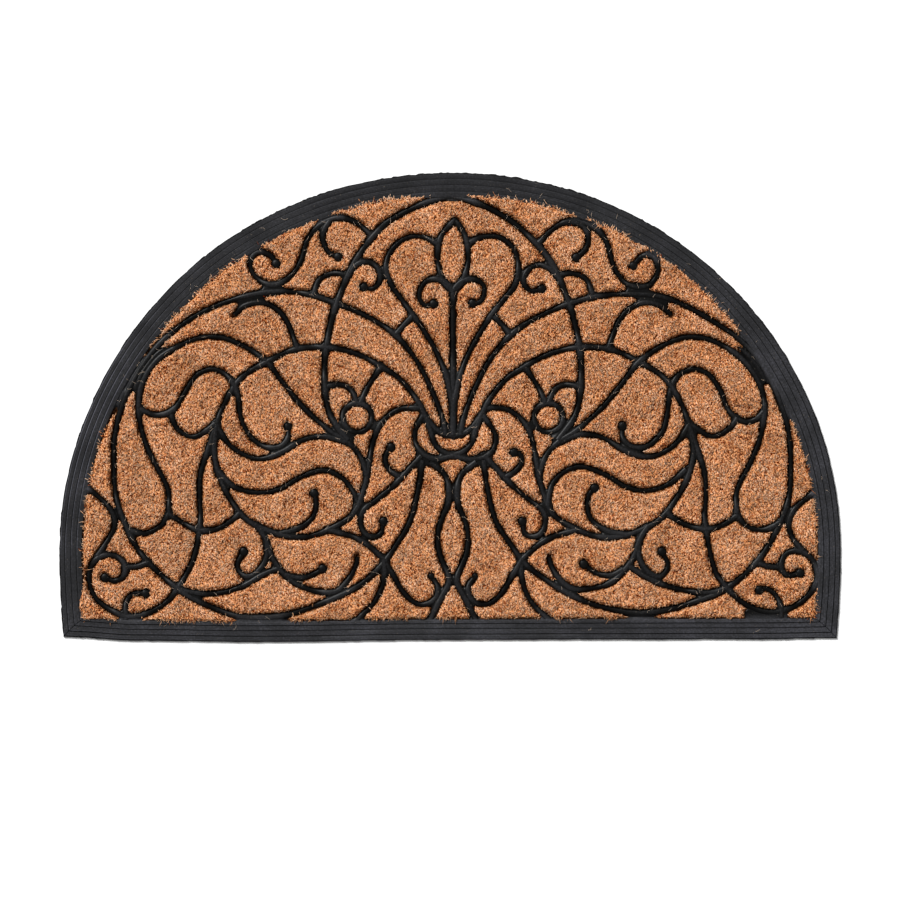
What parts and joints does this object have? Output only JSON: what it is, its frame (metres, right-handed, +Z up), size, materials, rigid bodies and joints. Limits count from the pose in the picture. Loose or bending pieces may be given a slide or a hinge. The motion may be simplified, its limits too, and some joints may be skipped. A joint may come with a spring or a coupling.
{
  "type": "half-round coir doormat",
  "caption": "Half-round doormat: a coir pile panel held in a one-piece rubber moulding with a stepped frame and raised scroll ribs.",
  "frame": {"origin": "on the underside, in the middle of the mat's width and depth, where the floor is", "axes": "+X along the straight edge, which lies towards -Y; +Y towards the top of the arch; +Z up out of the pile"},
  "size_m": [0.75, 0.4505, 0.009],
  "materials": {
    "coir_pile": "natural brown coir, cut pile, matt",
    "black_rubber": "black moulded recycled rubber, matt with a faint sheen"
  },
  "bodies": {
    "root": {"coir_panel": "coir_pile", "rubber_moulding": "black_rubber"}
  },
  "joints": []
}
